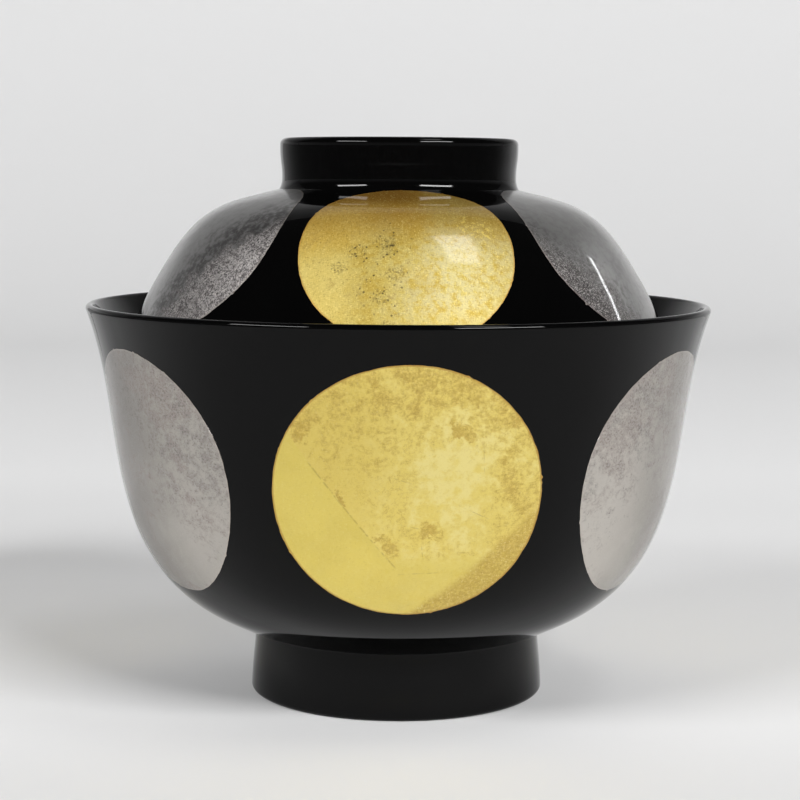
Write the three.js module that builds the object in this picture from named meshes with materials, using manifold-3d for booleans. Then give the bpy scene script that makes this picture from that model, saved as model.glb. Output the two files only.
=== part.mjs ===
// Lidded soup bowl: turned wood under black lacquer, with a row of gold and
// silver leaf discs round the bowl and a second row round the lid.
// Millimetres, +Z up. The origin is on the axis, in the plane the foot stands
// on, and the gold disc at the front faces -Y.
import * as THREE from "three";
import { mergeVertices } from "three/addons/utils/BufferGeometryUtils.js";
import Module from "manifold-3d";

// ---- driving dimensions -------------------------------------------------
const SIDES = 28; // columns of every turned surface, a multiple of 4
const COAT = 0.5; // lacquer with its ground, on every face of the wood
const LEAF = 0.12; // metal leaf
const GAP = 0.03; // between two layers that lie on each other

const FOOT_R = 28.76; // foot ring, widest just above the table
const FOOT_LAND = [26.1, 27.9]; // the flat ring it stands on
const RECESS_Z = 9.9; // ceiling of the hollow inside the foot
const JOIN = [27.95, 12.7]; // where the foot meets the belly
const RIM_R = 60.68; // rim, outermost
const RIM_Z = 76.45; // rim, highest
const BOWL_FLOOR_Z = 16.0; // inside of the bowl on the axis

const LID_EDGE_R = 54.7; // lid edge, seated inside the bowl
const LID_EDGE_Z = 64.2;
const LID_CEILING_Z = 95.4; // inside of the lid on the axis
const RING_JOIN = [23.15, 98.5]; // where the grip ring meets the dome
const RING_R = 23.13; // grip ring, widest
const RING_LAND = [21.0, 21.9]; // flat top of the grip ring
const RING_Z = 108.3;
const RING_FLOOR_Z = 100.5; // floor of the hollow inside the grip ring

const BOWL_DISC = { r: 54.757, z: 46.53, radius: 23.42 }; // centre on the wall
const LID_DISC = { r: 42.13, z: 88.79, radius: 19.1 };
const BOWL_DISC_AZ = [0, 60, 120, 180, 240, 300]; // degrees from the front
const LID_DISC_AZ = [0, 61.4, 120.6, 180, 239.4, 298.6];

// ---- finished surfaces, as (radius, height), with the wood on the left ---
const FOOT_FACE = [
  [0, RECESS_Z],
  [21.8, RECESS_Z - 0.3],
  [24.3, RECESS_Z - 2.2],
  [25.2, 1.2],
  [FOOT_LAND[0], 0],
  [FOOT_LAND[1], 0],
];
const BOWL_OUTSIDE = [
  [28.55, 0.45],
  [FOOT_R, 1.4],
  JOIN,
  [31.0, 13.45],
  [36.2, 16.15],
  [41.4, 19.5],
  [45.9, 23.85],
  [49.75, 29.95],
  [52.5, 36.9],
  [54.6, 45.6],
  [56.2, 55.8],
  [57.8, 65.3],
  [59.55, 72.35],
  [RIM_R, 75.8],
];
const BOWL_LIP = [60.06, RIM_Z];
const BOWL_INSIDE = [
  [59.3, 75.95],
  [57.6, 71.5],
  [55.7, 66.8],
  [54.1, 61.2],
  [52.2, 51.8],
  [49.6, 41.2],
  [45.6, 31.7],
  [39.2, 24.2],
  [29.0, 18.9],
  [15.0, 16.4],
  [0, BOWL_FLOOR_Z],
];

const LID_INSIDE = [
  [0, LID_CEILING_Z],
  [13.5, 95.0],
  [25.0, 93.4],
  [34.0, 90.0],
  [40.6, 84.6],
  [45.4, 76.8],
  [50.6, 66.6],
  [51.9, LID_EDGE_Z + 0.35],
];
const LID_EDGE = [53.0, LID_EDGE_Z];
const LID_OUTSIDE = [
  [54.2, LID_EDGE_Z + 0.25],
  [LID_EDGE_R, LID_EDGE_Z + 1.0],
  [52.4, 70.3],
  [48.65, 78.64],
  [44.1, 85.95],
  [39.6, 91.65],
  [34.0, 95.35],
  RING_JOIN,
  [22.76, 101.0],
  [RING_R, 105.6],
  [22.7, 107.75],
];
const RING_LIP = [RING_LAND[1], RING_Z];
const RING_INSIDE = [
  [RING_LAND[0], RING_Z],
  [20.2, 107.5],
  [19.85, 103.0],
  [18.6, 100.7],
  [15.5, 100.3],
  [0, RING_FLOOR_Z],
];

// ---- profile tools ------------------------------------------------------
const sub = (a, b) => [a[0] - b[0], a[1] - b[1]];
const unit = (a) => {
  const l = Math.hypot(a[0], a[1]);
  return [a[0] / l, a[1] / l];
};
const left = (a) => [-a[1], a[0]];

// The same line moved sideways by d, to the left, with mitred corners. A point
// on the axis stays on the axis.
function moved(line, d) {
  return line.map((p, i) => {
    const before = i > 0 ? left(unit(sub(p, line[i - 1]))) : null;
    const after =
      i < line.length - 1 ? left(unit(sub(line[i + 1], p))) : null;
    const a = before || after,
      b = after || before;
    if (p[0] === 0) return [0, p[1] + d * Math.sign(a[1])];
    const k = d / (1 + a[0] * b[0] + a[1] * b[1]);
    return [p[0] + (a[0] + b[0]) * k, p[1] + (a[1] + b[1]) * k];
  });
}

const toward = (a, b, d) => {
  const u = unit(sub(b, a));
  return [a[0] + u[0] * d, a[1] + u[1] * d];
};

// A layer between two lines with the same number of points, from point i to
// point j. An end that meets the next layer stops short of it.
function band(face, back, i, j) {
  const f = face.slice(i, j + 1),
    b = back.slice(i, j + 1);
  for (const s of [f, b]) {
    const n = s.length - 1;
    if (s[0][0] !== 0) s[0] = toward(s[0], s[1], GAP);
    if (s[n][0] !== 0) s[n] = toward(s[n], s[n - 1], GAP);
  }
  const loop = [...f, ...b.reverse()];
  if (f[0][0] !== 0 && f[f.length - 1][0] !== 0) loop.push(f[0]); // clear of the axis
  else if (f[0][0] !== 0) {
    // begins off the axis: turn the loop so that it begins and ends on it
    const k = loop.findIndex((p) => p[0] === 0);
    return [...loop.slice(k + 1), ...loop.slice(0, k + 1)];
  }
  return loop;
}

function turned(line) {
  const g = new THREE.LatheGeometry(
    line.map((p) => new THREE.Vector2(p[0], p[1])),
    SIDES,
  );
  return g.rotateX(Math.PI / 2);
}

// ---- cutting ------------------------------------------------------------
const wasm = await Module();
wasm.setup();

function solid(geometry) {
  const g = geometry.clone();
  g.deleteAttribute("normal");
  g.deleteAttribute("uv");
  const m = mergeVertices(g, 1e-4);
  return new wasm.Manifold(
    new wasm.Mesh({
      numProp: 3,
      vertProperties: new Float32Array(m.attributes.position.array),
      triVerts: new Uint32Array(m.index.array),
    }),
  );
}

function geometryOf(s) {
  const m = s.getMesh();
  const v = new Float32Array(m.numVert * 3);
  for (let i = 0; i < m.numVert; i++)
    v.set(
      m.vertProperties.subarray(i * m.numProp, i * m.numProp + 3),
      i * 3,
    );
  const g = new THREE.BufferGeometry();
  g.setAttribute("position", new THREE.BufferAttribute(v, 3));
  g.setIndex(new THREE.BufferAttribute(m.triVerts.slice(), 1));
  g.computeVertexNormals();
  return g;
}

// A disc of leaf laid on a turned face: the part of a thin shell over that
// face that lies inside a round punch driven square to it at the disc's centre.
function leafDisc(shell, line, disc, azimuth) {
  let slope = null;
  for (let i = 1; i < line.length; i++)
    if ((line[i - 1][1] - disc.z) * (line[i][1] - disc.z) <= 0)
      slope = unit(sub(line[i], line[i - 1]));
  const out = [slope[1], -slope[0]]; // to the right of the line
  const a = (azimuth * Math.PI) / 180;
  const n = new THREE.Vector3(
    out[0] * Math.sin(a),
    -out[0] * Math.cos(a),
    out[1],
  );
  const centre = new THREE.Vector3(
    disc.r * Math.sin(a),
    -disc.r * Math.cos(a),
    disc.z,
  );
  const punch = new THREE.CylinderGeometry(disc.radius, disc.radius, 24, 28);
  punch.applyQuaternion(
    new THREE.Quaternion().setFromUnitVectors(new THREE.Vector3(0, 1, 0), n),
  );
  punch.translate(...centre.addScaledVector(n, -5).toArray());
  return geometryOf(shell.intersect(solid(punch)));
}

// The thin shell that leaf discs are punched from, over rows i to j of a face.
function leafShell(line, i, j) {
  const low = moved(line, -GAP).slice(i, j + 1);
  const high = moved(line, -GAP - LEAF).slice(i, j + 1);
  return solid(turned([...high, ...low.reverse(), high[0]]));
}

// ---- finishes -----------------------------------------------------------
const wood = () =>
  new THREE.MeshStandardMaterial({
    color: 0xb88a58,
    roughness: 0.7,
    metalness: 0,
  });
const lacquer = () =>
  new THREE.MeshStandardMaterial({
    color: 0x0b0a0a,
    roughness: 0.08,
    metalness: 0,
  });
const gold = () =>
  new THREE.MeshStandardMaterial({
    color: 0xd8b95a,
    roughness: 0.35,
    metalness: 1,
  });
const silver = () =>
  new THREE.MeshStandardMaterial({
    color: 0xb4b0a8,
    roughness: 0.38,
    metalness: 1,
  });

function piece(name, geometry, material) {
  const m = new THREE.Mesh(geometry, material);
  m.name = name;
  return m;
}

// ---- bowl ---------------------------------------------------------------
const bowlFace = [...FOOT_FACE, ...BOWL_OUTSIDE, BOWL_LIP, ...BOWL_INSIDE];
const bowlBack = moved(bowlFace, COAT);
const bowlWood = moved(bowlFace, COAT + GAP);
const footEnd = FOOT_FACE.length - 1;
const bowlLip = FOOT_FACE.length + BOWL_OUTSIDE.length;

const bowl = new THREE.Group();
bowl.add(
  piece("bowl_core", turned(bowlWood), wood()),
  piece(
    "foot_recess_lacquer",
    turned(band(bowlFace, bowlBack, 0, footEnd)),
    lacquer(),
  ),
  piece(
    "bowl_outer_lacquer",
    turned(band(bowlFace, bowlBack, footEnd, bowlLip)),
    lacquer(),
  ),
  piece(
    "bowl_inner_lacquer",
    turned(band(bowlFace, bowlBack, bowlLip, bowlFace.length - 1)),
    lacquer(),
  ),
);
const bowlShell = leafShell(bowlFace, footEnd + 6, bowlLip - 1);
BOWL_DISC_AZ.forEach((az, k) => {
  const metal = k % 2 ? "silver" : "gold";
  bowl.add(
    piece(
      `bowl_${metal}_leaf_${(k >> 1) + 1}`,
      leafDisc(bowlShell, bowlFace.slice(footEnd + 4, bowlLip), BOWL_DISC, az),
      k % 2 ? silver() : gold(),
    ),
  );
});

// ---- lid ----------------------------------------------------------------
const lidFace = [
  ...LID_INSIDE,
  LID_EDGE,
  ...LID_OUTSIDE,
  RING_LIP,
  ...RING_INSIDE,
];
const lidBack = moved(lidFace, COAT);
const lidWood = moved(lidFace, COAT + GAP);
const lidEdge = LID_INSIDE.length;
const ringJoin = lidEdge + 1 + LID_OUTSIDE.indexOf(RING_JOIN);
const ringLip = lidEdge + 1 + LID_OUTSIDE.length;

const lid = new THREE.Group();
lid.add(
  piece("lid_core", turned(lidWood), wood()),
  piece(
    "lid_inner_lacquer",
    turned(band(lidFace, lidBack, 0, lidEdge)),
    lacquer(),
  ),
  piece(
    "lid_outer_lacquer",
    turned(band(lidFace, lidBack, lidEdge, ringLip)),
    lacquer(),
  ),
  piece(
    "grip_recess_lacquer",
    turned(band(lidFace, lidBack, ringLip, lidFace.length - 1)),
    lacquer(),
  ),
);
const lidShell = leafShell(lidFace, lidEdge + 2, ringJoin);
LID_DISC_AZ.forEach((az, k) => {
  const metal = k % 2 ? "silver" : "gold";
  lid.add(
    piece(
      `lid_${metal}_leaf_${(k >> 1) + 1}`,
      leafDisc(lidShell, lidFace.slice(lidEdge + 2, ringJoin), LID_DISC, az),
      k % 2 ? silver() : gold(),
    ),
  );
});

const object = new THREE.Group();
object.add(bowl, lid);
export default object;
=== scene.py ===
import math

import bpy
import numpy as np
from mathutils import Matrix, Vector


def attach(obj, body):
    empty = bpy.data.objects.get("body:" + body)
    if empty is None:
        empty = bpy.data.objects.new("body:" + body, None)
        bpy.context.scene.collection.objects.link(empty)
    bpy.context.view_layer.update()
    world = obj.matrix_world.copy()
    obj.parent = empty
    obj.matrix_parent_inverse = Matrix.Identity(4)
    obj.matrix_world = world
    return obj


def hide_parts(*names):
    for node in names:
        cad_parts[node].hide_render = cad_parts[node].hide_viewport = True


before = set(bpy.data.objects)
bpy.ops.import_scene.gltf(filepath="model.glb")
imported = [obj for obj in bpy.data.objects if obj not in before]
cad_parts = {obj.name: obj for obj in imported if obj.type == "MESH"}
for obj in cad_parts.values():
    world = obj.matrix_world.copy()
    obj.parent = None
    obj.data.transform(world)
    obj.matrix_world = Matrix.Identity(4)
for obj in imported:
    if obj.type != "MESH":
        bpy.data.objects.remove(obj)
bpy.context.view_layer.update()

scene = bpy.context.scene

MM = 0.001

# ---------------------------------------------------------------- driving sizes, mm
COLUMNS = 180          # sides of every turned piece
COAT = 0.5             # lacquer with its ground
LEAF_TOP = 0.045       # leaf stands this far above the lacquer
LEAF_UNDER = 0.012
SPOKES, RINGS_TOP, RINGS_UNDER = 300, 22, 12

BOWL_DISC = dict(r=54.757, z=46.53, radius=23.42, azimuths=(0, 60, 120, 180, 240, 300))
LID_DISC = dict(r=42.13, z=88.79, radius=19.1, azimuths=(0, 61.4, 120.6, 180, 239.4, 298.6))


# ---------------------------------------------------------------- curves of the turned surfaces
def unit(v):
    v = np.asarray(v, float)
    return v / np.hypot(*v)


def spline(points, start=None, end=None, step=0.04):
    """Smooth curve through points (r, z), with a chosen direction at either end."""
    p = np.asarray(points, float)
    h = np.hypot(*np.diff(p, axis=0).T)
    u = np.r_[0, np.cumsum(h)]
    n = len(p)
    a = np.zeros((n, n))
    b = np.zeros((n, 2))
    for i in range(1, n - 1):
        a[i, i - 1], a[i, i], a[i, i + 1] = h[i - 1], 2 * (h[i - 1] + h[i]), h[i]
        b[i] = 6 * ((p[i + 1] - p[i]) / h[i] - (p[i] - p[i - 1]) / h[i - 1])
    a[0, 0] = a[-1, -1] = 1
    if start is not None:
        a[0, 0], a[0, 1] = 2 * h[0], h[0]
        b[0] = 6 * ((p[1] - p[0]) / h[0] - unit(start))
    if end is not None:
        a[-1, -1], a[-1, -2] = 2 * h[-1], h[-1]
        b[-1] = 6 * (unit(end) - (p[-1] - p[-2]) / h[-1])
    m = np.linalg.solve(a, b)
    t = np.linspace(0, u[-1], max(2, int(u[-1] / step)))
    k = np.clip(np.searchsorted(u, t, side="right") - 1, 0, n - 2)
    x, y = (t - u[k])[:, None], (u[k + 1] - t)[:, None]
    hk = h[k][:, None]
    return (
        m[k] * y**3 / (6 * hk)
        + m[k + 1] * x**3 / (6 * hk)
        + (p[k] / hk - m[k] * hk / 6) * y
        + (p[k + 1] / hk - m[k + 1] * hk / 6) * x
    )


def arc(centre, radius, start, end, step=0.03):
    n = max(6, int(abs(math.radians(end - start)) * radius / step))
    t = np.radians(np.linspace(start, end, n))
    return np.c_[centre[0] + radius * np.cos(t), centre[1] + radius * np.sin(t)]


def corner(point, into, out, radius, step=0.03):
    """Rounded corner at point between the directions into and out."""
    p, a, b = np.asarray(point, float), unit(into), unit(out)
    turn = math.atan2(a[0] * b[1] - a[1] * b[0], a @ b)
    reach = radius * math.tan(abs(turn) / 2)
    side = np.array([-a[1], a[0]]) * math.copysign(1, turn)
    first = p - a * reach
    middle = first + side * radius
    n = max(6, int(abs(turn) * radius / step))
    s = np.linspace(0, turn, n)
    v = first - middle
    return np.c_[
        middle[0] + v[0] * np.cos(s) - v[1] * np.sin(s),
        middle[1] + v[0] * np.sin(s) + v[1] * np.cos(s),
    ]


def from_axis(points, end=None):
    """Curve that starts level on the axis."""
    c = spline([(0.0, points[0][1])] + list(points[1:]), start=(1, 0), end=end)
    c[0, 0] = 0.0
    return c


class Curve:
    """One run of a turned surface from the axis round to the axis, wood on the left."""

    def __init__(self, parts):
        self.marks, pts = {}, []
        for name, p in parts:
            if pts:
                p = p[1:] if np.hypot(*(p[0] - pts[-1])) < 0.02 else p
            self.marks[name] = len(pts)
            pts.extend(p)
            self.marks[name + "_end"] = len(pts) - 1
        self.p = np.array(pts)
        d = np.gradient(self.p, axis=0)
        d[0], d[-1] = self.p[1] - self.p[0], self.p[-1] - self.p[-2]
        for on_axis in (0, -1):
            if abs(self.p[on_axis, 0]) < 1e-9:
                d[on_axis] = (math.copysign(1, d[on_axis, 0]), 0)
        d /= np.hypot(*d.T)[:, None]
        self.t = d
        self.n = np.c_[d[:, 1], -d[:, 0]]

    def rows(self, first, last, turn, space):
        """Point numbers from first to last, closer where the curve turns."""
        ang = np.unwrap(np.arctan2(self.t[first : last + 1, 1], self.t[first : last + 1, 0]))
        seg = np.hypot(*np.diff(self.p[first : last + 1], axis=0).T)
        load = np.r_[0, np.cumsum(seg / space + np.abs(np.diff(ang)) / math.radians(turn))]
        want = np.linspace(0, load[-1], max(2, int(math.ceil(load[-1])) + 1))
        ids = np.unique(np.searchsorted(load, want).clip(0, last - first))
        ids[0], ids[-1] = 0, last - first
        return first + ids


# bowl: foot hollow, foot, outside, lip, inside
roof_corner = corner((24.25, 9.56), (0.999, -0.03), (0.116, -0.993), 2.4)
tread_in = corner((25.25, 0.0), (0.103, -0.995), (1, 0), 0.9)
tread_out = arc((27.9, 0.87), 0.87, -90, 0)
waist = corner((27.95, 12.66), (-0.03, 1.0), (0.965, 0.262), 0.55)
lip = arc((59.858, 75.664), 0.8, -20, 159)
bowl_curve = Curve(
    [
        ("hollow", np.vstack([from_axis([(0, 9.9), (12, 9.83), tuple(roof_corner[0])], end=(0.999, -0.03))])),
        ("hollow_corner", roof_corner),
        ("hollow_wall", spline([roof_corner[-1], tread_in[0]])),
        ("tread_in", tread_in),
        ("tread", np.c_[np.linspace(tread_in[-1, 0], 27.9, 40), np.zeros(40)]),
        ("tread_out_under", arc((27.9, 0.87), 0.87, -90, -45)),
        ("tread_out", arc((27.9, 0.87), 0.87, -45, 0)),
        ("foot", spline([(28.77, 0.87), (28.72, 2.1), (28.54, 4.81), (28.29, 7.48), (28.06, 10.0), tuple(waist[0])], start=(0.0, 1.0), end=(-0.03, 1.0))),
        ("waist", waist),
        (
            "wall",
            spline(
                [tuple(waist[-1]), (30.2, 13.27), (32.29, 14.21), (37.16, 16.66), (41.67, 19.72), (45.58, 23.53), (48.71, 27.99), (51.1, 32.89), (52.86, 38.05), (54.16, 43.36), (55.13, 48.73), (55.94, 54.13), (56.76, 59.52), (57.72, 64.9), (58.96, 70.21), tuple(lip[0])],
                start=(0.965, 0.262),
                end=(0.342, 0.94),
            ),
        ),
        ("lip_out", arc((59.858, 75.664), 0.8, -20, 90)),
        ("lip_in", arc((59.858, 75.664), 0.8, 90, 159)),
        (
            "inside",
            spline(
                [tuple(lip[-1]), (57.55, 71.5), (55.75, 66.6), (54.1, 60.9), (52.2, 51.8), (49.6, 41.4), (45.4, 31.9), (38.6, 24.0), (28.4, 18.9), (15.0, 16.5), (0.0, 16.0)],
                start=(-0.357, -0.934),
                end=(-1, 0),
            ),
        ),
    ]
)
bowl_curve.p[-1, 0] = 0.0

# lid: inside, edge, outside, grip ring, its hollow
crease = corner((23.33, 98.47), (-0.973, 0.232), (-0.50, 0.866), 0.3)
grip_corner = corner((19.65, 100.25), (-0.0693, -0.9976), (-1, 0.005), 2.6)
edge_in = arc((53.3, 65.5), 1.3, 220, 270)
edge_out = arc((53.3, 65.5), 1.3, 270, 384.3)
lid_curve = Curve(
    [
        ("inside", from_axis([(0, 95.4), (13.5, 94.95), (25.0, 93.35), (34.0, 90.0), (40.6, 84.6), (45.4, 76.8), (48.2, 71.2), (50.6, 66.75), tuple(edge_in[0])], end=(0.643, -0.766))),
        ("edge_in", edge_in),
        ("edge_out", edge_out),
        (
            "dome",
            spline(
                [tuple(edge_out[-1]), (52.42, 70.3), (50.66, 74.31), (49.26, 77.24), (47.78, 80.04), (46.13, 82.78), (44.44, 85.5), (42.62, 88.13), (40.59, 90.6), (38.25, 92.79), (35.59, 94.56), (32.68, 95.9), (29.63, 96.88), (26.54, 97.69), tuple(crease[0])],
                start=(-0.4115, 0.9114),
                end=(-0.973, 0.232),
            ),
        ),
        ("crease", crease),
        ("ring", spline([tuple(crease[-1]), (22.95, 99.3), (22.79, 100.0), (22.75, 100.8), (22.8, 102.2), (22.94, 103.5), (23.08, 104.9), (23.13, 106.1), (23.13, 107.1)], start=(-0.50, 0.866), end=(0, 1))),
        ("ring_lip", arc((21.93, 107.1), 1.2, 0, 90)),
        ("ring_top", np.c_[np.linspace(21.93, 21.0, 24), np.full(24, 108.3)]),
        ("ring_lip_in", arc((21.0, 107.45), 0.85, 90, 180)),
        ("ring_inside", spline([(20.15, 107.45), (19.98, 105.0), tuple(grip_corner[0])], start=(0, -1), end=(-0.0693, -0.9976))),
        ("ring_corner", grip_corner),
        ("ring_floor", spline([tuple(grip_corner[-1]), (10.0, 100.38), (0.0, 100.5)], start=(-1, 0.005), end=(-1, 0))),
    ]
)
lid_curve.p[-1, 0] = 0.0


# ---------------------------------------------------------------- meshes
def new_object(name, verts, faces, normals):
    """Closed mesh with the exact surface direction at every face corner."""
    me = bpy.data.meshes.new(name)
    me.from_pydata((np.asarray(verts) * MM).tolist(), [], faces)
    me.polygons.foreach_set("use_smooth", np.ones(len(faces), bool))
    me.update()
    me.normals_split_custom_set(np.asarray(normals, float).tolist())
    me.validate(clean_customdata=False)
    ob = bpy.data.objects.new(name, me)
    scene.collection.objects.link(ob)
    return ob


def turned(name, rows):
    """Turned closed body. rows are (r, z, nr_before, nz_before, nr_after, nz_after) round the section,
    wood on the left; a row on the axis is a single point. The section closes on itself unless it starts and ends on the axis."""
    phi = np.linspace(0, 2 * np.pi, COLUMNS, endpoint=False)
    cs, sn = np.cos(phi), np.sin(phi)
    verts, ids = [], []
    for r, z, *_ in rows:
        if r < 1e-6:
            ids.append([len(verts)])
            verts.append((0.0, 0.0, z))
        else:
            ids.append(list(range(len(verts), len(verts) + COLUMNS)))
            verts.extend(zip(r * cs, r * sn, [z] * COLUMNS))
    faces, normals = [], []
    pairs = [(i, i + 1) for i in range(len(rows) - 1)]
    if len(ids[0]) > 1 or len(ids[-1]) > 1:
        pairs.append((len(rows) - 1, 0))
    j = np.arange(COLUMNS)
    q = (j + 1) % COLUMNS

    def around(n):
        return np.c_[n[0] * cs, n[0] * sn, np.full(COLUMNS, n[1])]

    for i, k in pairs:
        a, b = np.array(ids[i]), np.array(ids[k])
        if len(a) == 1 and len(b) == 1:
            continue
        na, nb = around(rows[i][4:6]), around(rows[k][2:4])
        if len(a) == 1:
            faces += np.c_[np.full(COLUMNS, a[0]), b[q], b[j]].tolist()
            normals.append(np.stack([na * (0, 0, 1), nb[q], nb[j]], 1).reshape(-1, 3))
        elif len(b) == 1:
            faces += np.c_[a[j], a[q], np.full(COLUMNS, b[0])].tolist()
            normals.append(np.stack([na[j], na[q], nb * (0, 0, 1)], 1).reshape(-1, 3))
        else:
            faces += np.c_[a[j], a[q], b[q], b[j]].tolist()
            normals.append(np.stack([na[j], na[q], nb[q], nb[j]], 1).reshape(-1, 3))
    return new_object(name, verts, faces, np.vstack(normals))


def coat(name, curve, first, last, turn=4.0, space=1.3):
    """Lacquer between two points of a curve, COAT thick, with square ends."""
    face = curve.rows(first, last, turn, space)
    back = curve.rows(first, last, turn * 2.2, space * 1.8)[::-1]
    rows = []
    for i in face:
        n = curve.n[i]
        rows.append([*curve.p[i], *n, *n])
    tail = len(rows)
    for i in back:
        n = curve.n[i]
        q = curve.p[i] - n * COAT
        q[0] = max(q[0], 0.0)
        rows.append([*q, *-n, *-n])
    if curve.p[last, 0] > 1e-6:
        rows[tail - 1][4:6] = rows[tail][2:4] = curve.t[last]
    if curve.p[first, 0] > 1e-6:
        rows[-1][4:6] = rows[0][2:4] = -curve.t[first]
    # a piece that starts or ends on the axis has two separate points there
    if curve.p[first, 0] > 1e-6 and curve.p[last, 0] <= 1e-6:
        rows = rows[tail:] + rows[:tail]
    return turned(name, rows)


def core(name, curve):
    """Wood inside the coats."""
    rows = []
    for i in curve.rows(0, len(curve.p) - 1, 9.0, 2.6):
        n = curve.n[i]
        q = curve.p[i] - n * (COAT + 0.02)
        if curve.p[i, 0] <= 1e-6:
            q[0] = 0.0
        rows.append([*q, *n, *n])
    return turned(name, rows)


def disc_frame(spec, azimuth, curve, part):
    """Centre of a disc on the turned surface, with its across, up and out directions."""
    a = math.radians(azimuth)
    i0, i1 = curve.marks[part], curve.marks[part + "_end"]
    p, t, n = curve.p[i0 : i1 + 1], curve.t[i0 : i1 + 1], curve.n[i0 : i1 + 1]
    k = int(np.argmin(np.hypot(p[:, 0] - spec["r"], p[:, 1] - spec["z"])))
    out = np.array([math.sin(a), -math.cos(a), 0.0])
    up = np.array([0, 0, 1.0])
    centre = out * p[k, 0] + up * p[k, 1]
    across = np.array([math.cos(a), math.sin(a), 0.0])
    rise = out * t[k, 0] + up * t[k, 1]
    normal = out * n[k, 0] + up * n[k, 1]
    return centre, across, rise, normal, p, n


def leaf(name, spec, azimuth, curve, part, seed):
    """Round leaf disc that lies on the turned surface: its outline is a round punch along the surface's own direction at its middle."""
    centre, across, rise, normal, prof, prof_n = disc_frame(spec, azimuth, curve, part)
    order = np.argsort(prof[:, 1])
    pz, pr, pn = prof[order, 1], prof[order, 0], prof_n[order]
    rng = np.random.default_rng(seed)
    th = np.linspace(0, 2 * np.pi, SPOKES, endpoint=False)
    # outline: slightly uneven, with a few torn burrs
    edge = np.zeros(SPOKES)
    for k in range(3, 60):
        edge += rng.normal(0, 0.022 / math.sqrt(k)) * np.cos(k * th + rng.uniform(0, 6.28))
    edge += rng.normal(0, 0.012, SPOKES)
    for _ in range(7):
        i = int(rng.integers(SPOKES))
        edge[i] += rng.uniform(0.08, 0.30)
    edge = spec["radius"] + edge

    def on_surface(x, y):
        t = np.zeros_like(x)
        for _ in range(40):
            q = centre + x[:, None] * across + y[:, None] * rise + t[:, None] * normal
            r = np.hypot(q[:, 0], q[:, 1])
            gap = r - np.interp(q[:, 2], pz, pr)
            i = np.clip(np.searchsorted(pz, q[:, 2]), 0, len(pz) - 1)
            gap = gap * pn[i, 0]
            t -= gap * 0.9
        q = centre + x[:, None] * across + y[:, None] * rise + t[:, None] * normal
        nr, nz = np.interp(q[:, 2], pz, pn[:, 0]), np.interp(q[:, 2], pz, pn[:, 1])
        r = np.hypot(q[:, 0], q[:, 1])[:, None]
        n = np.c_[q[:, :2] / r * nr[:, None], nz]
        return q, n / np.linalg.norm(n, axis=1)[:, None]

    def grid(rings, lift):
        f = np.linspace(0, 1, rings + 1)[1:]
        rho = spec["radius"] * f[:, None] + (edge - spec["radius"])[None, :] * (f[:, None] ** 12)
        x, y = (rho * np.cos(th)).ravel(), (rho * np.sin(th)).ravel()
        x, y = np.r_[0, x], np.r_[0, y]
        q, n = on_surface(x, y)
        return q + n * lift, n, np.c_[x, y]

    top, n_top, xy_top = grid(RINGS_TOP, LEAF_TOP)
    low, n_low, xy_low = grid(RINGS_UNDER, LEAF_UNDER)
    base = len(top)
    verts = np.vstack([top, low])
    xy = np.vstack([xy_top, xy_low])
    n_all = np.vstack([n_top, -n_low])
    reach = spec["radius"] + 0.6
    # flat map of the piece: the face fills the square, the underside lies small in a corner
    flat = np.vstack([0.5 + 0.455 * xy_top / reach, 0.075 + 0.068 * xy_low / reach])
    j = np.arange(SPOKES)
    q = (j + 1) % SPOKES

    def sheet(offset, rings, outward):
        hub = np.c_[np.full(SPOKES, offset), offset + 1 + j, offset + 1 + q]
        k = np.arange(rings - 1)[:, None] * SPOKES
        a, b = offset + 1 + k + j, offset + 1 + k + q
        c, d = a + SPOKES, b + SPOKES
        strips = np.stack([a, c, d, b], -1).reshape(-1, 4)
        return (hub, strips) if outward else (hub[:, ::-1], strips[:, ::-1])

    tris_t, quads_t = sheet(0, RINGS_TOP, True)
    tris_u, quads_u = sheet(base, RINGS_UNDER, False)
    e_top, e_low = 1 + (RINGS_TOP - 1) * SPOKES, base + 1 + (RINGS_UNDER - 1) * SPOKES
    rim = np.c_[e_top + j, e_low + j, e_low + q, e_top + q]
    out = np.cos(th)[:, None] * across + np.sin(th)[:, None] * rise
    inner = np.vstack([tris_t, tris_u]), np.vstack([quads_t, quads_u])
    faces = [f.tolist() for f in inner] + [rim.tolist()]
    ids = np.concatenate([f.ravel() for f in inner])
    rim_out = np.stack([out[j], out[j], out[q], out[q]], 1).reshape(-1, 3)
    grow = 0.5 + (flat - 0.5) * 1.02
    rim_flat = np.stack([flat[e_top + j], grow[e_top + j], grow[e_top + q], flat[e_top + q]], 1).reshape(-1, 2)
    ob = new_object(name, verts, faces[0] + faces[1] + faces[2], np.vstack([n_all[ids], rim_out]))
    me = ob.data
    spot = me.attributes.new("leaf_mm", "FLOAT_VECTOR", "POINT")
    spot.data.foreach_set("vector", np.c_[xy, np.zeros(len(xy))].astype(np.float32).ravel())
    uv = me.uv_layers.new(name="OFBake")
    uv.uv.foreach_set("vector", np.vstack([flat[ids], rim_flat]).astype(np.float32).ravel())
    return ob


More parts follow.
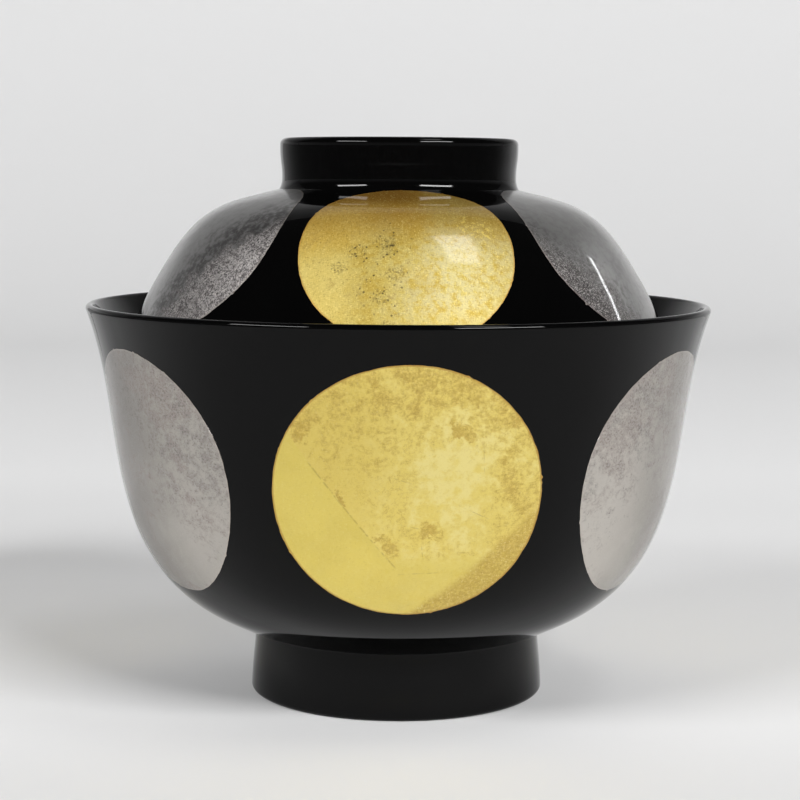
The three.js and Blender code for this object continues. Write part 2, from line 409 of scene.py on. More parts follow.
# ---------------------------------------------------------------- material nodes
class Field:
    """A value in a material's node tree, with arithmetic."""

    def __init__(self, tree, socket):
        self.tree, self.socket = tree, socket

    def _m(self, op, a, b=None, c=None):
        n = self.tree.nodes.new("ShaderNodeMath")
        n.operation = op
        for i, v in enumerate((a, b, c)):
            if v is None:
                continue
            if isinstance(v, Field):
                self.tree.links.new(v.socket, n.inputs[i])
            else:
                n.inputs[i].default_value = v
        return Field(self.tree, n.outputs[0])

    def __add__(self, o):
        return self._m("ADD", self, o)

    __radd__ = __add__

    def __sub__(self, o):
        return self._m("SUBTRACT", self, o)

    def __rsub__(self, o):
        return self._m("SUBTRACT", o, self)

    def __mul__(self, o):
        return self._m("MULTIPLY", self, o)

    __rmul__ = __mul__

    def __truediv__(self, o):
        return self._m("DIVIDE", self, o)

    def __pow__(self, o):
        return self._m("POWER", self, o)

    def abs(self):
        return self._m("ABSOLUTE", self)

    def sqrt(self):
        return self._m("SQRT", self)

    def max(self, o):
        return self._m("MAXIMUM", self, o)

    def min(self, o):
        return self._m("MINIMUM", self, o)

    def ramp(self, a, b, lo=0.0, hi=1.0):
        """Smooth step from lo at a to hi at b."""
        n = self.tree.nodes.new("ShaderNodeMapRange")
        n.interpolation_type = "SMOOTHSTEP"
        flip = a > b
        if flip:
            a, b, lo, hi = b, a, hi, lo
        n.inputs["From Min"].default_value = a
        n.inputs["From Max"].default_value = b
        n.inputs["To Min"].default_value = lo
        n.inputs["To Max"].default_value = hi
        self.tree.links.new(self.socket, n.inputs["Value"])
        return Field(self.tree, n.outputs["Result"])


class Mat:
    def __init__(self, name):
        self.mat = bpy.data.materials.new(name)
        self.mat.use_nodes = True
        self.tree = self.mat.node_tree
        self.tree.nodes.clear()
        self.out = self.tree.nodes.new("ShaderNodeOutputMaterial")
        self.bsdf = self.tree.nodes.new("ShaderNodeBsdfPrincipled")
        self.tree.links.new(self.bsdf.outputs[0], self.out.inputs["Surface"])

    def set(self, **values):
        for k, v in values.items():
            s = self.bsdf.inputs[k.replace("_", " ")]
            if isinstance(v, Field):
                self.tree.links.new(v.socket, s)
            elif isinstance(v, (tuple, list)):
                s.default_value = (*v, 1.0)[: len(s.default_value)]
            else:
                s.default_value = v

    def spot(self, shift=(0, 0, 0), turn=0.0, stretch=(1, 1, 1)):
        """Place on a leaf disc in mm, moved and turned so that each disc differs."""
        n = self.tree.nodes.new("ShaderNodeAttribute")
        n.attribute_name = "leaf_mm"
        return self.moved(Field(self.tree, n.outputs["Vector"]), shift, turn, stretch)

    def body(self, stretch=1000.0):
        """Place on the whole object in mm."""
        n = self.tree.nodes.new("ShaderNodeTexCoord")
        return self.moved(Field(self.tree, n.outputs["Object"]), (0, 0, 0), 0.0, (stretch,) * 3)

    def moved(self, vec, shift, turn, stretch):
        n = self.tree.nodes.new("ShaderNodeMapping")
        n.inputs["Location"].default_value = shift
        n.inputs["Rotation"].default_value = (0, 0, turn)
        n.inputs["Scale"].default_value = stretch
        self.tree.links.new(vec.socket, n.inputs["Vector"])
        return Field(self.tree, n.outputs["Vector"])

    def split(self, vec):
        n = self.tree.nodes.new("ShaderNodeSeparateXYZ")
        self.tree.links.new(vec.socket, n.inputs[0])
        return [Field(self.tree, n.outputs[i]) for i in range(3)]

    def noise(self, vec, size, detail=3.0, rough=0.55, bend=0.0):
        """Cloudy field, 0 to 1 with a mean of 0.5, with features of about size mm."""
        n = self.tree.nodes.new("ShaderNodeTexNoise")
        n.inputs["Scale"].default_value = 1.0 / size
        n.inputs["Detail"].default_value = detail
        n.inputs["Roughness"].default_value = rough
        n.inputs["Distortion"].default_value = bend
        self.tree.links.new(vec.socket, n.inputs["Vector"])
        return Field(self.tree, n.outputs["Fac"])

    def cells(self, vec, size, feature="F1"):
        n = self.tree.nodes.new("ShaderNodeTexVoronoi")
        n.feature = feature
        n.inputs["Scale"].default_value = 1.0 / size
        self.tree.links.new(vec.socket, n.inputs["Vector"])
        far = Field(self.tree, n.outputs["Distance"])
        tone = Field(self.tree, n.outputs["Color"]) if feature == "F1" else None
        return far, tone

    def mix(self, fac, a, b):
        n = self.tree.nodes.new("ShaderNodeMix")
        n.data_type = "RGBA"
        n.clamp_factor = True
        if isinstance(fac, Field):
            self.tree.links.new(fac.socket, n.inputs[0])
        else:
            n.inputs[0].default_value = fac
        for s, v in ((n.inputs[6], a), (n.inputs[7], b)):
            if isinstance(v, Field):
                self.tree.links.new(v.socket, s)
            else:
                s.default_value = (*v, 1.0)
        return Field(self.tree, n.outputs[2])

    def veil(self, fac, shader):
        """Clear where fac is 1, shader where it is 0."""
        clear = self.tree.nodes.new("ShaderNodeBsdfTransparent")
        mix = self.tree.nodes.new("ShaderNodeMixShader")
        self.tree.links.new(fac.socket, mix.inputs[0])
        self.tree.links.new(shader.outputs[0], mix.inputs[1])
        self.tree.links.new(clear.outputs[0], mix.inputs[2])
        self.tree.links.new(mix.outputs[0], self.out.inputs["Surface"])

    def bump(self, height, strength, distance_mm):
        n = self.tree.nodes.new("ShaderNodeBump")
        n.inputs["Strength"].default_value = strength
        n.inputs["Distance"].default_value = distance_mm * MM
        self.tree.links.new(height.socket, n.inputs["Height"])
        return Field(self.tree, n.outputs["Normal"])


def lacquer_material():
    m = Mat("black_lacquer")
    p = m.body()
    cloud = m.noise(p, 9.0, 3.0)
    fine = m.noise(p, 0.5, 2.0)
    far, tone = m.cells(p, 11.0)
    r, g, b = m.split(tone)
    dust = far.ramp(0.011, 0.006) * r.ramp(0.62, 0.66)
    black = m.mix(cloud, (0.0009, 0.00095, 0.001), (0.0014, 0.00135, 0.0013))
    fleck = m.mix(g.ramp(0.45, 0.55), (0.62, 0.42, 0.12), (0.42, 0.36, 0.32))
    m.set(
        Base_Color=m.mix(dust, black, fleck),
        Roughness=cloud.ramp(0.3, 0.75, 0.035, 0.06) + fine * 0.012,
        Specular_IOR_Level=0.145,
        IOR=1.5,
    )
    return m.mat


def wood_material():
    m = Mat("turned_wood")
    p = m.body()
    x, y, z = m.split(p)
    sway = m.noise(p, 22.0, 3.0)
    rings = ((x * x + (y * 0.8) * (y * 0.8)).sqrt() * 0.32 + sway * 5.0)
    wave = m.tree.nodes.new("ShaderNodeMath")
    wave.operation = "SINE"
    m.tree.links.new((rings * 6.283).socket, wave.inputs[0])
    band = Field(m.tree, wave.outputs[0]).ramp(-1.0, 1.0)
    pore = m.noise(m.moved(p, (0, 0, 0), 0.0, (2.4, 2.4, 0.22)), 1.0, 4.0, 0.65)
    tint = m.mix(band, (0.36, 0.19, 0.085), (0.52, 0.31, 0.15))
    m.set(
        Base_Color=m.mix(pore.ramp(0.58, 0.72), tint, (0.2, 0.1, 0.045)),
        Roughness=pore.ramp(0.3, 0.7, 0.5, 0.68),
        Normal=m.bump(pore, 0.25, 0.08),
    )
    return m.mat


def near(x, y, cx, cy, rx, ry, turn=0.0):
    """Soft patch, 1 at its middle and 0 at its edge."""
    c, s = math.cos(math.radians(turn)), math.sin(math.radians(turn))
    u = ((x - cx) * c + (y - cy) * s) / rx
    v = ((y - cy) * c - (x - cx) * s) / ry
    return (u * u + v * v).ramp(1.0, 0.15)


def stroke(x, y, a, b, width):
    """Thin line from a to b, 1 on it."""
    ax, ay = a
    length = math.hypot(b[0] - ax, b[1] - ay)
    dx, dy = (b[0] - ax) / length, (b[1] - ay) / length
    along = (x - ax) * dx + (y - ay) * dy
    off = ((y - ay) * dx - (x - ax) * dy).abs()
    inside = along.ramp(-0.4, 0.8) * along.ramp(length + 0.4, length - 0.8)
    return off.ramp(width, width * 0.25) * inside


def gold_material(name, seed, turn=0.0, kind="bowl", flip=1.0):
    m = Mat(name)
    rng = np.random.default_rng(seed)
    shift = tuple(float(v) for v in rng.uniform(-300, 300, 3))
    own = m.spot(turn=turn, stretch=(flip, 1, 1))
    x, y, _ = m.split(own)
    p = m.spot(shift=shift)
    broad = m.noise(p, 9.0, 3.0, 0.55)
    blot = m.noise(p, 3.4, 6.0, 0.66, 0.5)
    mid = m.noise(p, 1.5, 4.0, 0.65, 0.2)
    fine = m.noise(p, 0.5, 3.0, 0.7)
    warp = m.noise(m.spot(shift=shift, stretch=(0.45, 1.5, 1.0)), 0.26, 2.0, 0.7)
    weft = m.noise(m.spot(shift=shift, stretch=(1.5, 0.5, 1.0)), 0.28, 2.0, 0.7)
    grain = warp * 0.5 + weft * 0.5
    edge = (x * x + y * y).sqrt()
    if kind == "bowl":
        # lower left: one smooth sheet, laid over the rest along a slanting seam
        off = x * 0.78 + y * 0.626 + 9.99 + (m.noise(p, 4.0, 3.0) - 0.5) * 0.9
        calm = (y + (broad - 0.5) * 3.0).ramp(-9.5, -13.5)
        smooth_part = off.ramp(0.15, -0.1).max(calm)
        loose = off.ramp(-1.0, 7.0)
        top = y.ramp(5.0, 21.0)
        right = x.ramp(9.0, 20.0) * y.ramp(-14.0, 0.0)
        rim_band = (x * 0.66 + y * -0.75 + (broad - 0.5) * 2.0 + (mid - 0.5) * 1.6).ramp(16.9, 18.7)
        other = m.noise(m.spot(shift=(shift[1], shift[2], shift[0])), 1.8, 4.0, 0.65)
        xs, ys = x + (mid - 0.5) * 6.0, y + (other - 0.5) * 6.0
        torn = (
            near(xs, ys, -3.4, -9.4, 1.9, 4.0, 30) * off.ramp(0.0, 0.3)
        ).max(near(xs, ys, 4.6, -6.7, 3.8, 1.8, -35)).max(near(xs, ys, -11.4, -0.8, 0.9, 2.2, 40) * off.ramp(0.0, 0.3)).max(
            near(xs, ys, -18.2, 10.6, 1.6, 3.0, -30)
        ).max(near(xs, ys, 9.3, 11.4, 3.4, 1.3, -32))
        wear = (
            top * 0.072
            + right * 0.05
            + torn * 0.140
            + near(x, y, -8.0, 7.5, 10.0, 6.5, -15) * 0.034
            + loose * 0.008
            - smooth_part * 0.10
            - calm * 0.03
            - near(x, y, -6.0, 0.0, 9.0, 6.0, -50) * 0.03
            - near(x, y, 7.5, 2.0, 8.5, 10.0) * 0.085
            - near(x, y, 8.0, -10.0, 7.0, 5.0) * 0.05
        )
        field = blot * 0.42 + mid * 0.38 + broad * 0.20
        dark = (field * 0.78 + fine * 0.22 + wear).ramp(0.52, 0.655)
        light = (field + wear * 0.5 - near(x, y, 10.5, 7.0, 11.0, 12.0) * 0.045).ramp(0.525, 0.385) * x.ramp(-12.0, 3.0, 0.25, 1.0)
        wrinkle = ((blot - 0.5).abs().ramp(0.022, 0.004)).max((other - 0.47).abs().ramp(0.016, 0.003)) * loose * calm.ramp(1.0, 0.0)
        stain = (dark * fine.ramp(0.30, 0.60, 0.50, 1.0)).max(rim_band * fine.ramp(0.36, 0.58, 0.52, 0.98)).max(wrinkle * mid.ramp(0.42, 0.58) * near(x, y, 8.5, 0.0, 11.0, 13.0).ramp(0.0, 1.0, 0.62, 0.16))
        body = m.mix(light * 0.8, (0.91, 0.728, 0.183), (0.985, 0.85, 0.33))
        body = m.mix(x.ramp(0.0, -10.0) * y.ramp(-8.0, 2.0) * 0.55, body, (0.83, 0.635, 0.135))
        body = m.mix(smooth_part * 0.70, body, m.mix(broad.ramp(0.35, 0.65), (0.82, 0.65, 0.128), (0.89, 0.72, 0.158)))
        body = m.mix(stain * 0.70, body, (0.57, 0.36, 0.058))
        line = m.noise(p, 1.1, 2.0).ramp(0.36, 0.56)
        seam = stroke(x, y, (-17.2, 5.4), (-2.0, -13.4), 0.22) * line
        crease = (
            stroke(x, y, (7.8, -1.2), (14.0, -4.6), 0.13)
            .max(stroke(x, y, (-2.6, 3.4), (0.2, 2.5), 0.18))
            .max(stroke(x, y, (-1.5, -5.0), (3.0, -6.1), 0.14))
            .max(stroke(x, y, (2.4, -9.0), (2.7, -11.6), 0.14))
            .max(stroke(x, y, (-1.6, -14.6), (5.4, -14.4), 0.12))
            .max(stroke(x, y, (12.9, 8.5), (13.1, 4.0), 0.12))
            .max(stroke(x, y, (-20.4, 12.3), (-15.0, 13.0), 0.14))
        ) * line
        body = m.mix((seam * 0.42).max(crease * 0.34), body, (0.40, 0.24, 0.04))
        body = m.mix(grain.ramp(0.46, 0.34) * (stain * 0.45 + 0.14), body, (0.40, 0.235, 0.04))
        body = m.mix(grain.ramp(0.54, 0.66) * (rim_band * 0.35 + 0.30), body, (0.98, 0.87, 0.38))
    else:
        light = (broad * 0.3 + blot * 0.4 + mid * 0.3).ramp(0.42, 0.60)
        pale = m.mix(light, (0.56, 0.415, 0.088), (0.63, 0.525, 0.175))
        # painted sheen: pale mottled patches on the right, below the middle, stand for a soft reflection on the leaf
        painted_sheen = (x * 0.9 + y * -0.3 + (broad - 0.5) * 12.0).ramp(-2.0, 7.0) * y.ramp(-16.5, -9.5, 0.3, 1.0) * mid.ramp(0.34, 0.60) * y.ramp(8.0, 1.0)
        body = m.mix(x.ramp(2.0, 15.0) * 0.22, pale, (0.34, 0.27, 0.08))
        body = m.mix(painted_sheen * x.ramp(9.0, 16.0, 0.85, 0.55), body, (0.64, 0.58, 0.325))
        # painted shade: towards the top the leaf is mixed to a darker brown, standing for the dark room above reflected
        # in it; less so to the right, a painted highlight there
        body = m.mix(y.ramp(-1.0, 9.0) * x.ramp(0.0, 8.0, 0.68, 0.30), body, (0.60, 0.34, 0.045))
        body = m.mix(x.ramp(-7.0, -13.0) * y.ramp(3.0, -3.0) * y.ramp(-17.0, -11.0) * 0.55, body, (0.78, 0.655, 0.235))
        body = m.mix(x.ramp(-3.0, -11.0) * y.ramp(-3.0, 3.0) * 0.38, body, (0.86, 0.61, 0.13))
        # painted shade: the topmost band is mixed to a deep brown, lighter to the right, the same painted reflection of
        # the dark room above
        body = m.mix(y.ramp(9.0, 15.5) * x.ramp(-1.0, 6.0, 0.72, 0.24), body, (0.33, 0.14, 0.012))
        stain = (blot * 0.6 + mid * 0.4 + x.ramp(4.0, -8.0) * 0.03).ramp(0.53, 0.72)
        body = m.mix(stain * x.ramp(2.0, 9.0, 0.42, 0.28), body, (0.40, 0.25, 0.05))
        far, hue = m.cells(p, 0.60)
        chance, depth, _ = m.split(hue)
        xs, ys = x + (mid - 0.5) * 2.4, y + (blot - 0.5) * 3.0
        where = near(x + (blot - 0.5) * 10.0, y + (broad - 0.5) * 12.0, -4.0, -4.0, 6.5, 14.0, -8) * 0.40
        spots = None
        for cx, cy, cr in ((-3.6, 0.4, 2.0), (-2.2, -5.4, 1.5), (-5.0, -10.0, 1.4), (-4.0, -15.6, 1.3), (-11.8, -3.6, 1.3), (-8.4, -0.6, 1.6)):
            spot = near(xs, ys, cx, cy, cr * 1.3, cr * 1.3)
            spots = spot if spots is None else spots.max(spot)
        where = where.max(spots * 0.85)
        smudge = spots.ramp(0.10, 0.75) * (fine * 0.5 + grain * 0.5).ramp(0.52, 0.42)
        body = m.mix(smudge * 0.5, body, (0.17, 0.12, 0.04))
        pits = (far + (fine - 0.5) * 0.9).ramp(0.48, 0.20) * (chance + where).ramp(1.13, 1.20) * depth.ramp(0.1, 1.0, 0.25, 1.0)
        body = m.mix(grain.ramp(0.47, 0.36) * 0.46, body, (0.26, 0.155, 0.026))
        body = m.mix(grain.ramp(0.53, 0.64) * 0.60, body, (0.88, 0.76, 0.29))
        fleck = (m.noise(p, 0.9, 3.0, 0.7) + near(x, y, 12.5, 5.5, 5.5, 4.0, -20) * 0.14).ramp(0.665, 0.73)
        body = m.mix(fleck * 0.6, body, (0.88, 0.72, 0.20))
        body = m.mix(pits * 0.85, body, (0.09, 0.062, 0.026))
    rim_line = edge.ramp({"bowl": 23.05, "lid": 18.75}[kind], {"bowl": 23.30, "lid": 19.05}[kind])
    body = m.mix(rim_line * (0.7 if kind == "bowl" else 0.5), body, (0.52, 0.26, 0.045))
    m.set(
        Base_Color=body,
        Metallic=1.0,
        Roughness=stain * 0.08 + (grain * 0.10 + (0.38 if kind == "bowl" else 0.60)),
        Coat_Weight=1.0,
        Coat_Roughness=0.03 if kind == "bowl" else 0.09,
        Coat_IOR=1.40 if kind == "bowl" else 1.48,
        Normal=m.bump(fine * 0.5 + mid * 0.6 + blot * 1.2, 0.16, 0.05),
    )
    return m.mat


def silver_material(name, seed, lean=1.0, kind="bowl", bare=5.0, tone=1.0):
    """lean is the side, left or right, where the leaf is more worn; bare is how far in mm the grainy part lies from the middle; tone is how bright the leaf is."""
    m = Mat(name)
    rng = np.random.default_rng(seed)
    shift = tuple(float(v) for v in rng.uniform(-300, 300, 3))
    x, y, _ = m.split(m.spot())
    p = m.spot(shift=shift)
    broad = m.noise(p, 9.0, 3.0, 0.55)
    blot = m.noise(p, 3.0, 6.0, 0.66, 0.4)
    mid = m.noise(p, 1.3, 4.0, 0.65, 0.2)
    fine = m.noise(p, 0.5, 3.0, 0.72)
    pin = m.noise(p, 0.42, 2.0, 0.7)
    grain = m.noise(p, 0.2, 2.0, 0.7)
    edge = (x * x + y * y).sqrt()
    field = blot * 0.45 + mid * 0.35 + broad * 0.20
    if kind == "bowl":
        worn = (x * lean).ramp(-11.0, 17.0)
        wear = worn * (y.ramp(-16.0, 3.0) if lean > 0 else y.ramp(-7.0, 8.0)) * 0.085 + y.ramp(2.0, 20.0) * 0.05 - near(x, y, 6 * lean, -14.0, 9.0, 8.0) * 0.09
        tint = m.mix((broad * 0.6 + blot * 0.4).ramp(0.38, 0.64), tuple(tone * v for v in (0.445, 0.412, 0.372)), tuple(tone * v for v in (0.53, 0.50, 0.455)))
        tint = m.mix((x * lean).ramp(-2.0, 16.0) * (0.75 if lean < 0 else 0.60), tint, (0.69, 0.65, 0.595) if lean < 0 else (0.63, 0.595, 0.545))
        tint = m.mix((x * lean).ramp(6.0, -8.0) * y.ramp(-4.0, -16.0) * 0.35, tint, (0.33, 0.308, 0.28))
        if lean > 0:
            tint = m.mix((x * lean).ramp(5.0, -10.0) * 0.60, tint, (0.22, 0.204, 0.186))
        stain = (field * 0.88 + fine * 0.12 + wear).ramp(0.49, 0.65) * fine.ramp(0.30, 0.6, 0.50, 1.0)
        body = m.mix(stain * 0.55, tint, m.mix(broad.ramp(0.42, 0.58), (0.255, 0.222, 0.205), (0.33, 0.262, 0.238)))
        body = m.mix((pin + wear * 0.9 + (blot - 0.5) * 0.34 + (mid - 0.5) * 0.2).ramp(0.635, 0.76) * 0.42, body, (0.085, 0.075, 0.072))
        body = m.mix(grain.ramp(0.55, 0.72) * 0.35, body, (0.76, 0.73, 0.68))
        rough = stain * 0.08 + (grain * 0.10 + 0.45)
        m.set(Specular_Tint=(0.58, 0.57, 0.56))
    else:
        slope = x * (0.80 * lean) + y * -0.60 + (blot - 0.5) * (15.0 if tone > 0.9 else 7.0) + (mid - 0.5) * 9.0
        grainy = slope.ramp(bare - 1.5, bare + 2.5) if tone > 0.9 else slope.ramp(bare - 6.0, bare + 4.0)
        brink = slope.ramp(bare - 8.0, bare - 1.0) * slope.ramp(bare + 4.0, bare)
        clear = {0.62: 0.415, 0.8: 0.44, 1.0: 0.335}[tone]
        dull = m.mix(field.ramp(0.42, 0.60) * 0.6, (clear, clear * 0.985, clear * 0.96), (clear * 0.70, clear * 0.675, clear * 0.655))
        dull = m.mix(brink * mid.ramp(0.36, 0.56) * (0.85 if tone > 0.9 else 0.25), dull, (0.085, 0.078, 0.076))
        flake = fine * 0.30 + grain * 0.70
        sand = m.mix(flake.ramp(0.42, 0.57) if tone > 0.9 else flake.ramp(0.48, 0.62), (0.12, 0.11, 0.107), (0.74, 0.70, 0.68))
        sand = m.mix((mid * 0.6 + blot * 0.4).ramp(0.52, 0.62) * (0.75 * tone), sand, (0.13, 0.112, 0.11))
        body = m.mix(grainy, dull, sand)
        body = m.mix((pin + grainy * 0.06 + (blot - 0.5) * 0.3).ramp(0.64, 0.74) * grainy * 0.8, body, (0.045, 0.04, 0.042))
        stain = grainy
        rough = grainy * 0.10 + (grain * 0.06 + (0.42 if tone == 0.8 else 0.39))
    rim_line = edge.ramp({"bowl": 23.05, "lid": 18.75}[kind], {"bowl": 23.38, "lid": 19.05}[kind])
    body = m.mix(rim_line * 0.35, body, (0.62, 0.54, 0.48))
    m.set(
        Base_Color=body,
        Metallic=1.0,
        Roughness=rough,
        Coat_Weight=1.0 if kind == "bowl" else 0.7,
        Coat_Roughness=0.03 if kind == "bowl" else 0.06,
        Coat_IOR=1.40,
        Normal=m.bump(fine * 0.5 + mid * 0.6 + blot * 1.2, 0.16 if kind == "bowl" else 0.07, 0.05),
    )
    return m.mat


# ---------------------------------------------------------------- the object
lacquer, wood = lacquer_material(), wood_material()


def finish_piece(ob, mat, body, node):
    ob.data.materials.append(mat)
    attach(ob, body)
    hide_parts(node)


def put(ob, mat, body, slot):
    node = ob.name[: -len("_fine")]
    finish_piece(ob, mat, body, node)


k = bowl_curve.marks
put(core("bowl_core_fine", bowl_curve), wood, "bowl", "wood")
put(coat("foot_recess_lacquer_fine", bowl_curve, 0, k["tread_out_under_end"], 5.0, 1.8), lacquer, "bowl", "black_lacquer")
put(coat("bowl_outer_lacquer_fine", bowl_curve, k["tread_out_under_end"], k["lip_out_end"], 3.5, 1.2), lacquer, "bowl", "black_lacquer")
put(coat("bowl_inner_lacquer_fine", bowl_curve, k["lip_out_end"], len(bowl_curve.p) - 1, 4.0, 1.6), lacquer, "bowl", "black_lacquer")
k = lid_curve.marks
put(core("lid_core_fine", lid_curve), wood, "lid", "wood")
put(coat("lid_inner_lacquer_fine", lid_curve, 0, k["edge_in_end"], 4.0, 1.6), lacquer, "lid", "black_lacquer")
put(coat("lid_outer_lacquer_fine", lid_curve, k["edge_in_end"], k["ring_lip_end"], 3.5, 1.1), lacquer, "lid", "black_lacquer")
put(coat("grip_recess_lacquer_fine", lid_curve, k["ring_lip_end"], len(lid_curve.p) - 1, 5.0, 1.6), lacquer, "lid", "black_lacquer")

TONE = {"bowl": (0.92, 0.9, 0.82), "lid": (0.62, 0.8, 1.0)}   # how bright each silver disc is
for kind, spec, curve, part in (("bowl", BOWL_DISC, bowl_curve, "wall"), ("lid", LID_DISC, lid_curve, "dome")):
    for i, azimuth in enumerate(spec["azimuths"]):
        metal = "silver" if i % 2 else "gold"
        name = f"{kind}_{metal}_leaf_{i // 2 + 1}"
        seed = 100 * (kind == "lid") + 7 * i + 3
        ob = leaf(name + "_fine", spec, azimuth, curve, part, seed)
        if metal == "gold":
            if kind == "bowl":
                mat = gold_material(name, seed, turn=(0.0, 2.2, 4.1)[i // 2])
            else:
                mat = gold_material(name, seed, kind="lid", flip=(1.0, -1.0, -0.8)[i // 2])
        else:
            mat = silver_material(name, seed, lean=-1.0 if azimuth < 180 else 1.0, kind=kind, bare=13.0 if azimuth < 100 else 7.8, tone=TONE[kind][i // 2])
        put(ob, mat, kind, metal + "_leaf")


# ---------------------------------------------------------------- camera at the photograph's place
def camera():
    dist, height, aside = 401.64, 101.79, 0.53
    turn, pitch, roll = math.radians(-2.05), math.radians(6.3509), math.radians(0.347)
    right = Vector((math.cos(turn), math.sin(turn), 0))
    level = Vector((-math.sin(turn), math.cos(turn), 0))
    place = (level * -dist + right * aside + Vector((0, 0, height))) * MM
    ahead = level * math.cos(pitch) - Vector((0, 0, 1)) * math.sin(pitch)
    up = right.cross(ahead)
    m = Matrix((right, up, -ahead)).transposed().to_4x4()
    half_pixel = math.atan(0.5 / 2050.13)
    m = m @ Matrix.Rotation(half_pixel, 4, "Y") @ Matrix.Rotation(half_pixel, 4, "X") @ Matrix.Rotation(roll, 4, "Z")
    m.translation = place
    data = bpy.data.cameras.new("camera")
    data.sensor_width = 36.0
    data.lens = 92.256
    data.clip_start, data.clip_end = 0.01, 50.0
    ob = bpy.data.objects.new("camera", data)
    scene.collection.objects.link(ob)
    ob.matrix_world = m
    scene.camera = ob


camera()


# ---------------------------------------------------------------- plain stage and light
def sweep():
    """Pale floor that turns up into a wall far behind."""
    prof = [(-2.6, 0.0), (0.8, 0.0)]
    for t in np.linspace(0, 90, 25)[1:]:
        a = math.radians(t)
        prof.append((0.8 + 0.55 * math.sin(a), 0.55 - 0.55 * math.cos(a)))
    prof.append((1.35, 2.4))
    xs = np.linspace(-2.6, 2.6, 9)
    verts = [(x, y, z) for y, z in prof for x in xs]
    faces = []
    for i in range(len(prof) - 1):
        for j in range(len(xs) - 1):
            a = i * len(xs) + j
            faces.append((a, a + 1, a + 1 + len(xs), a + len(xs)))
    me = bpy.data.meshes.new("floor")
    me.from_pydata(verts, [], faces)
    me.polygons.foreach_set("use_smooth", np.ones(len(faces), bool))
    ob = bpy.data.objects.new("floor", me)
    scene.collection.objects.link(ob)
    m = Mat("pale_paper")
    x, y, z = m.split(m.body(1.0))
    # painted shade: a darker grey band across the floor behind the object, stronger to the left, stands for the shaded
    # turn from floor up to wall
    painted_band_shade = y.ramp(0.10, 0.165) * y.ramp(0.30, 0.19)
    tone = m.mix(painted_band_shade * x.ramp(0.05, -0.20, 0.16, 0.30), (0.815, 0.815, 0.815), (0.5, 0.5, 0.5))
    # painted shade: the wall is painted darker high up
    tone = m.mix(z.ramp(0.30, 0.62), tone, (0.40, 0.40, 0.40))
    # painted shade: the floor is painted darker near the camera
    tone = m.mix(y.ramp(0.0, -0.10), tone, (0.71, 0.71, 0.71))
    m.set(Base_Color=tone, Roughness=0.75, Specular_IOR_Level=0.1)
    # open from below and within the foot ring, so that the underside can be seen
    side = m.tree.nodes.new("ShaderNodeNewGeometry")
    under = (x * x + y * y).sqrt().ramp(0.0258, 0.0254)
    m.veil(Field(m.tree, side.outputs["Backfacing"]).max(under), m.bsdf)
    me.materials.append(m.mat)


def softbox(name, azimuth, elevation, distance, width, height, power, tint=(1, 1, 1), aim=(0, 0, 0.06)):
    a, e = math.radians(azimuth), math.radians(elevation)
    away = Vector((math.sin(a) * math.cos(e), -math.cos(a) * math.cos(e), math.sin(e)))
    data = bpy.data.lights.new(name, "AREA")
    data.shape = "RECTANGLE"
    data.size, data.size_y = width, height
    data.energy = power
    data.color = tint
    ob = bpy.data.objects.new(name, data)
    scene.collection.objects.link(ob)
    ob.location = Vector(aim) + away * distance
    ob.rotation_euler = away.to_track_quat("Z", "Y").to_euler()
    ob.visible_camera = False
    return ob


def panel(name, place, along, length, width, aim, power):
    """Flat light at place with its long side in the direction along, turned to aim."""
    turn = Matrix.Rotation(math.radians(-2.05), 3, "Z")
    place, along, aim = turn @ Vector(place), turn @ Vector(along), turn @ Vector(aim)
    back = (place - aim).normalized()
    u = (along - back * along.dot(back)).normalized()
    v = back.cross(u)
    data = bpy.data.lights.new(name, "AREA")
    data.shape = "RECTANGLE"
    data.size, data.size_y = length, width
    data.energy = power
    ob = bpy.data.objects.new(name, data)
    scene.collection.objects.link(ob)
    m = Matrix((u, v, back)).transposed().to_4x4()
    m.translation = place
    ob.matrix_world = m
    ob.visible_camera = False
    return ob


def surround():
    """Pale paper at the front and sides that only the camera sees, behind the object in side and back views."""
    a = np.radians(np.linspace(-162, 162, 109))
    reach = np.minimum(1.45, 0.78 / np.maximum(-np.cos(a), 1e-3))
    prof = [(0.40, 0.0004), (0.55, 0.0004), (0.70, 0.0004), (0.80, 0.0004)]
    prof += [(0.80 + 0.20 * math.sin(t), 0.30 * (1 - math.cos(t))) for t in np.radians(np.linspace(0, 90, 13)[1:])]
    prof.append((1.0, 1.7))
    verts = [(f * r * math.sin(t), -f * r * math.cos(t), z) for f, z in prof for r, t in zip(reach, a)]
    n = len(a)
    me = bpy.data.meshes.new("surround")
    me.from_pydata(verts, [], [(i * n + j, i * n + j + 1, (i + 1) * n + j + 1, (i + 1) * n + j) for i in range(len(prof) - 1) for j in range(n - 1)])
    me.polygons.foreach_set("use_smooth", np.ones(len(me.polygons), bool))
    fade = np.array([(min(1, max(0, (f - 0.42) / 0.36)) * min(1, max(0, (162 - abs(math.degrees(t))) / 10))) for f, z in prof for t in a])
    fade = fade * fade * (3 - 2 * fade)
    spot = me.attributes.new("fade", "FLOAT", "POINT")
    spot.data.foreach_set("value", fade.astype(np.float32))
    ob = bpy.data.objects.new("surround", me)
    scene.collection.objects.link(ob)
    m = Mat("pale_surround")
    glow = m.tree.nodes.new("ShaderNodeEmission")
    glow.inputs["Color"].default_value = (0.72, 0.72, 0.72, 1)
    here = m.tree.nodes.new("ShaderNodeAttribute")
    here.attribute_name = "fade"
    m.veil(1.0 - Field(m.tree, here.outputs["Fac"]), glow)
    me.materials.append(m.mat)
    ob.visible_diffuse = ob.visible_glossy = ob.visible_transmission = ob.visible_shadow = False


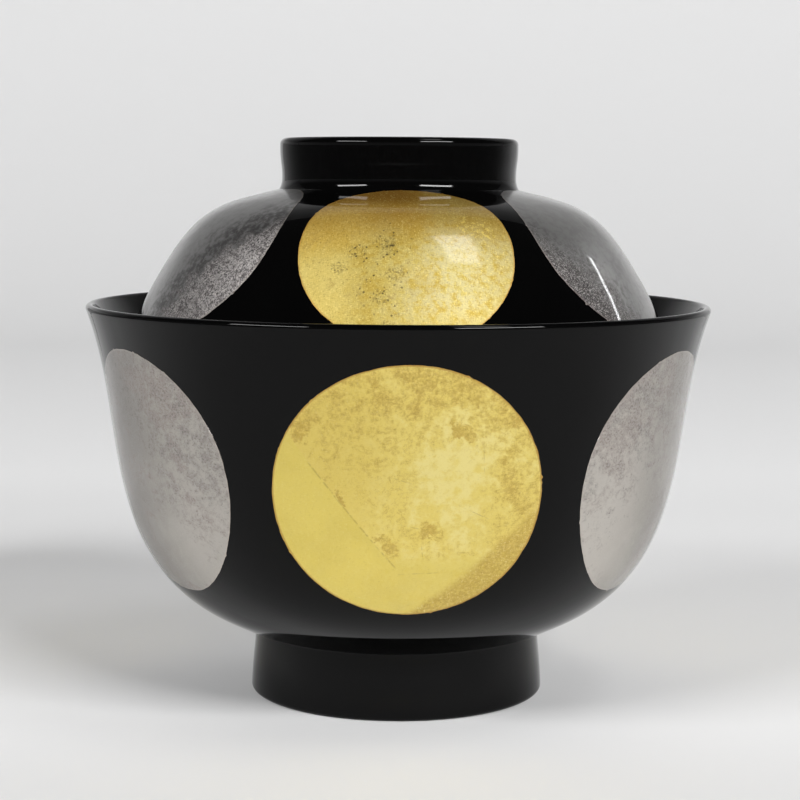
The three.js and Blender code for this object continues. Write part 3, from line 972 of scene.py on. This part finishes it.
def dark_card():
    """Low dark band in front and at the sides that only reflections see, a painted shade standing for the dim room
    round a paper sweep.
    """
    a = np.radians(np.linspace(-152, 152, 61))
    ring = np.c_[0.46 * np.sin(a), -0.46 * np.cos(a)]
    verts = [(x, y, z) for z in (0.0, 0.125) for x, y in ring]
    n = len(ring)
    me = bpy.data.meshes.new("dark_card")
    me.from_pydata(verts, [], [(i, i + 1, n + i + 1, n + i) for i in range(n - 1)])
    ob = bpy.data.objects.new("dark_card", me)
    scene.collection.objects.link(ob)
    m = Mat("dark_card")
    x, y, z = m.split(m.body(1.0))
    # painted light: the card turns paler towards its ends, more so on the right, standing for the brighter room beside
    # the sweep as seen in reflections
    ends = (y + x.ramp(-0.1, 0.1, 0.0, 0.07)).ramp(0.13, 0.42)
    pale = m.mix(x.ramp(-0.1, 0.1), (0.37, 0.37, 0.37), (0.60, 0.60, 0.60))
    m.set(Base_Color=m.mix(ends, (0.12, 0.12, 0.12), pale), Roughness=0.9, Specular_IOR_Level=0.0)
    me.materials.append(m.mat)
    ob.visible_camera = ob.visible_diffuse = ob.visible_shadow = False


sweep()
surround()
dark_card()
softbox("key_right", 37, 33, 1.9, 0.99, 0.20, 31.0)
softbox("key_left", -52, 32, 1.9, 0.93, 0.18, 20.0)
strip = panel("strip_right", (0.498, 0.266, 0.320), (-0.0876, 0.0599, 0.1009), 0.150, 0.015, (0.0372, -0.028, 0.0815), 0.115)
lit = bpy.data.collections.new("lit_by_strip")
lit.objects.link(bpy.data.objects["lid_silver_leaf_1_fine"])
strip.light_linking.receiver_collection = lit
panel("ceiling", (0.310, -0.199, 0.921), (0.178, 0.107, -0.05), 0.19, 0.31, (0.0113, -0.0406, 0.0887), 0.8)
for side, power in (("left", 2.6), ("right", 3.6)):
    fill = softbox("floor_fill_" + side, -115 if side == "left" else 115, 12, 1.3, 0.8, 0.8, power)
    fill.visible_glossy = False
wash = softbox("backdrop_wash", 180, 62, 1.6, 2.4, 0.5, 2.8, aim=(0, 0.2, 0.0))
wash.rotation_euler = (Vector((0, 0.95, 0.0)) - wash.location).to_track_quat("-Z", "Y").to_euler()
wash.visible_glossy = False

world = bpy.data.worlds.new("studio")
scene.world = world
world.use_nodes = True
wt = world.node_tree
wt.nodes.clear()
w_out = wt.nodes.new("ShaderNodeOutputWorld")
w_bg = wt.nodes.new("ShaderNodeBackground")
w_co = wt.nodes.new("ShaderNodeTexCoord")
w_sp = wt.nodes.new("ShaderNodeSeparateXYZ")
w_rp = wt.nodes.new("ShaderNodeValToRGB")
wt.links.new(w_co.outputs["Generated"], w_sp.inputs[0])
wt.links.new(w_sp.outputs["Z"], w_rp.inputs["Fac"])
wt.links.new(w_rp.outputs["Color"], w_bg.inputs["Color"])
wt.links.new(w_bg.outputs[0], w_out.inputs["Surface"])
ramp = w_rp.color_ramp
ramp.elements[0].position, ramp.elements[0].color = 0.06, (0.42, 0.42, 0.43, 1)
ramp.elements[1].position, ramp.elements[1].color = 0.62, (0.035, 0.035, 0.036, 1)
e = ramp.elements.new(0.26)
e.color = (0.05, 0.05, 0.051, 1)
w_bg.inputs["Strength"].default_value = 1.0

scene.view_settings.view_transform = "Standard"
